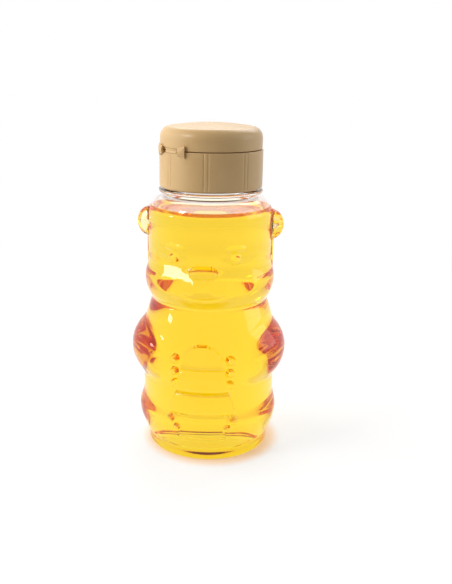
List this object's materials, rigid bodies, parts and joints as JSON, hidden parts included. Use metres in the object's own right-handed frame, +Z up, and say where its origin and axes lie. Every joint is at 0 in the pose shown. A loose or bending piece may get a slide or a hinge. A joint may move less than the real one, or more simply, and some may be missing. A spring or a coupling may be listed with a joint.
{
  "type": "honey bottle",
  "caption": "Clear bear-shaped squeeze bottle filled with honey, with a threaded neck and a hinged flip-top screw cap.",
  "frame": {"origin": "centre of the bottle's foot, at the level that it stands on", "axes": "+Z up along the neck, -Y out of the bear's face, +X to the bear's left"},
  "size_m": [0.064, 0.06, 0.1327],
  "materials": {
    "clear_shell": "clear, glossy blow-moulded PET",
    "honey": "clear golden honey",
    "foam": "matt closed-cell foam",
    "cap": "satin moulded polypropylene, tan gold"
  },
  "bodies": {
    "bottle": {"bottle": "clear_shell", "honey": "honey"},
    "gasket": {"liner_ring": "foam"},
    "cap": {"cap_base": "cap", "hinge_web": "cap", "hinge_strap_left": "cap", "hinge_strap_right": "cap"},
    "lid": {"flip_lid": "cap"}
  },
  "joints": [
    {"name": "cap_rise", "type": "slide", "parent": "bottle", "child": "gasket", "axis": [0, 0, 1], "range_m": [0, 0.01165]},
    {"name": "cap_turn", "type": "hinge", "parent": "gasket", "child": "cap", "pos_m": [0, 0, 0.1192], "axis": [0, 0, 1], "range_deg": [0, 990]},
    {"name": "lid_open", "type": "hinge", "parent": "cap", "child": "lid", "pos_m": [-0.01467, -0.01467, 0.12285], "axis": [0.7071, -0.7071, 0], "range_deg": [0, 180], "deforming": ["hinge_web", "hinge_strap_left", "hinge_strap_right"]}
  ],
  "couplings": [
    {"joint": "cap_rise", "follows": "cap_turn", "m_per_rad": 0.0006737}
  ]
}
